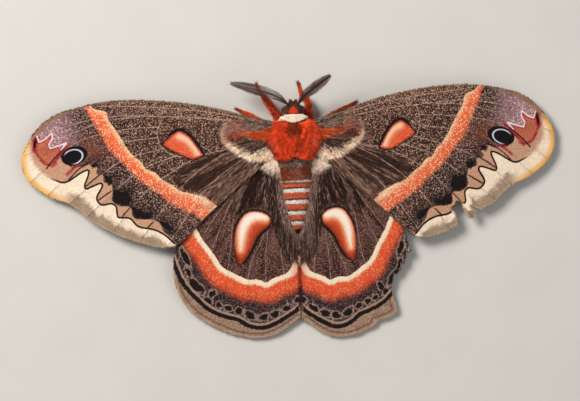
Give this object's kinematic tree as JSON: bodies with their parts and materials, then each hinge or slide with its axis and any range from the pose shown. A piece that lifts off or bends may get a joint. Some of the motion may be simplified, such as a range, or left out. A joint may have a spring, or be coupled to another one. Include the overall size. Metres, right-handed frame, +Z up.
{
  "type": "cecropia moth",
  "caption": "Life-size still model of a male cecropia moth resting with its wings spread, for display.",
  "frame": {"origin": "middle of the whole moth's box in plan, at the level of the floor that its feet rest on", "axes": "+Y towards the head, +X towards the moth's right, +Z up from the floor"},
  "size_m": [0.1498, 0.0736, 0.0184],
  "materials": {
    "red_hair": "woolly brick-red hair",
    "white_hair": "dense cream-white hair",
    "abdomen_hair": "short ringed red, black and white hair",
    "wing_scales": "matt dusted scales",
    "antenna_comb": "matt brown-grey horn",
    "eye_gloss": "glossy dark bead"
  },
  "bodies": {
    "root": {"head": "red_hair", "eye_left": "eye_gloss", "eye_right": "eye_gloss", "antenna_left": "antenna_comb", "antenna_right": "antenna_comb", "collar": "white_hair", "thorax": "red_hair", "abdomen": "abdomen_hair", "forewing_left": "wing_scales", "forewing_right": "wing_scales", "hindwing_left": "wing_scales", "hindwing_right": "wing_scales", "foreleg_left": "red_hair", "foreleg_right": "red_hair", "midleg_left": "red_hair", "midleg_right": "red_hair", "hindleg_left": "red_hair", "hindleg_right": "red_hair"}
  },
  "joints": []
}
